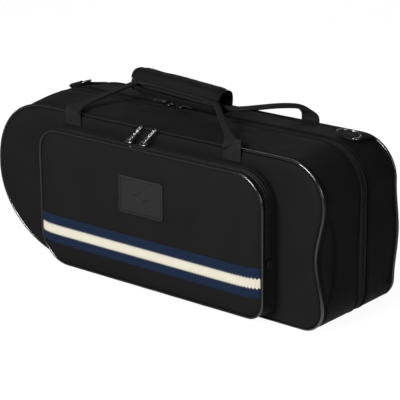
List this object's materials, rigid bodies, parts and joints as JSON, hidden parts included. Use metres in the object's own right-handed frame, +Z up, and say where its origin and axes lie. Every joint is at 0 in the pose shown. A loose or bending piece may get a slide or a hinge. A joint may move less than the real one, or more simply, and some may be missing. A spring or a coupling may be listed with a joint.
{
  "type": "trumpet case",
  "caption": "Soft zip-closed trumpet case standing on its long side, with a rounded bell end, a zipped front pocket with a stripe, a padded carrying grip and shoulder rings.",
  "frame": {"origin": "middle of the standing base on the floor", "axes": "+X along the case away from its bell end, +Y from the front pocket to the rear, +Z up"},
  "size_m": [0.5698, 0.1988, 0.2714],
  "materials": {
    "black_nylon": "matt ribbed nylon",
    "black_piping": "glossy vinyl piping",
    "black_webbing": "woven webbing",
    "zip_tape": "woven tape with nylon coil",
    "gunmetal": "dark plated",
    "bright_metal": "satin nickel",
    "embossed_leather": "matt leather, blind embossed",
    "stripe_webbing": "woven stripe, two dark blue bands beside a cream one",
    "plush_lining": "short plush over moulded foam",
    "board": "thin stiffening board"
  },
  "bodies": {
    "base": {"rear_panel": "black_nylon", "rear_gusset": "black_nylon", "rear_piping": "black_piping", "rear_board": "board", "main_zipper_rear": "zip_tape", "hinge_web_rear": "black_nylon", "bell_cradle": "plush_lining", "insert_block": "plush_lining", "rear_strap": "black_webbing", "grip_pad": "black_nylon", "d_tab_left": "black_webbing", "d_tab_right": "black_webbing"},
    "lid": {"front_panel": "black_nylon", "front_gusset": "black_nylon", "front_piping": "black_piping", "front_board": "board", "lid_pad": "plush_lining", "main_zipper_front": "zip_tape", "hinge_web_front": "black_nylon", "front_strap": "black_webbing", "pocket_gusset": "black_nylon", "pocket_zipper_back": "zip_tape", "pocket_lower_panel": "black_nylon", "pocket_lower_piping": "black_piping", "stripe_band": "stripe_webbing", "pocket_zip_tab_left": "black_webbing", "pocket_zip_tab_right": "black_webbing"},
    "pocket_flap": {"pocket_flap_panel": "black_nylon", "pocket_flap_piping": "black_piping", "pocket_flap_gusset": "black_nylon", "pocket_zipper_front": "zip_tape", "leather_patch": "embossed_leather"},
    "main_slider_left": {"main_slider_left": "gunmetal"},
    "main_slider_right": {"main_slider_right": "gunmetal"},
    "main_pull_left": {"main_pull_left": "gunmetal"},
    "main_pull_right": {"main_pull_right": "gunmetal"},
    "pocket_slider_left": {"pocket_slider_left": "bright_metal"},
    "pocket_slider_right": {"pocket_slider_right": "bright_metal"},
    "pocket_pull_left": {"pocket_pull_left": "bright_metal"},
    "pocket_pull_right": {"pocket_pull_right": "bright_metal"},
    "d_ring_left": {"d_ring_left": "gunmetal"},
    "d_ring_right": {"d_ring_right": "gunmetal"},
    "grip_flap": {"grip_flap": "black_nylon"},
    "accessory_lid": {"accessory_lid": "plush_lining"},
    "holding_strap": {"holding_strap": "black_webbing"}
  },
  "joints": [
    {"name": "lid_hinge", "type": "hinge", "parent": "base", "child": "lid", "pos_m": [0, 0.02128, 0], "axis": [1, 0, 0], "range_deg": [0, 180]},
    {"name": "pocket_flap_fold", "type": "hinge", "parent": "lid", "child": "pocket_flap", "pos_m": [0.00045, -0.09772, 0.09], "axis": [1, 0, 0], "range_deg": [0, 65]},
    {"name": "main_slider_left_travel", "type": "slide", "parent": "base", "child": "main_slider_left", "axis": [1, 0, 0], "range_m": [-0.136, 0.0035]},
    {"name": "main_slider_right_travel", "type": "slide", "parent": "base", "child": "main_slider_right", "axis": [1, 0, 0], "range_m": [-0.0035, 0.228]},
    {"name": "main_pull_left_swing", "type": "hinge", "parent": "main_slider_left", "child": "main_pull_left", "pos_m": [-0.03705, 0.02128, 0.22735], "axis": [0, 1, 0], "range_deg": [0, 16]},
    {"name": "main_pull_right_swing", "type": "hinge", "parent": "main_slider_right", "child": "main_pull_right", "pos_m": [-0.01705, 0.02128, 0.22735], "axis": [0, -1, 0], "range_deg": [0, 7]},
    {"name": "pocket_slider_left_travel", "type": "slide", "parent": "lid", "child": "pocket_slider_left", "axis": [1, 0, 0], "range_m": [-0.09, 0.003]},
    {"name": "pocket_slider_right_travel", "type": "slide", "parent": "lid", "child": "pocket_slider_right", "axis": [1, 0, 0], "range_m": [-0.003, 0.1]},
    {"name": "pocket_pull_left_swing", "type": "hinge", "parent": "pocket_slider_left", "child": "pocket_pull_left", "pos_m": [-0.01805, -0.07852, 0.20173], "axis": [0.788, -0.6157, 0], "range_deg": [0, 128]},
    {"name": "pocket_pull_right_swing", "type": "hinge", "parent": "pocket_slider_right", "child": "pocket_pull_right", "pos_m": [0.00595, -0.07852, 0.20173], "axis": [0.788, -0.6157, 0], "range_deg": [0, 128]},
    {"name": "d_ring_left_swing", "type": "hinge", "parent": "base", "child": "d_ring_left", "pos_m": [-0.22473, 0.04128, 0.21965], "axis": [0.9404, 0, 0.3402], "range_deg": [0, 150]},
    {"name": "d_ring_right_swing", "type": "hinge", "parent": "base", "child": "d_ring_right", "pos_m": [0.23682, 0.04128, 0.22537], "axis": [0.9849, 0, -0.1731], "range_deg": [0, 150]},
    {"name": "grip_flap_fold", "type": "hinge", "parent": "base", "child": "grip_flap", "pos_m": [-0.00955, 0.03147, 0.25525], "axis": [-0.9982, 0, 0.0593], "range_deg": [0, 150]},
    {"name": "accessory_lid_hinge", "type": "hinge", "parent": "base", "child": "accessory_lid", "pos_m": [0.09495, 0.02298, 0.203], "axis": [-1, 0, 0], "range_deg": [0, 78]},
    {"name": "holding_strap_swing", "type": "hinge", "parent": "base", "child": "holding_strap", "pos_m": [-0.06505, 0.02388, 0.147], "axis": [-1, 0, 0], "range_deg": [0, 30]}
  ]
}
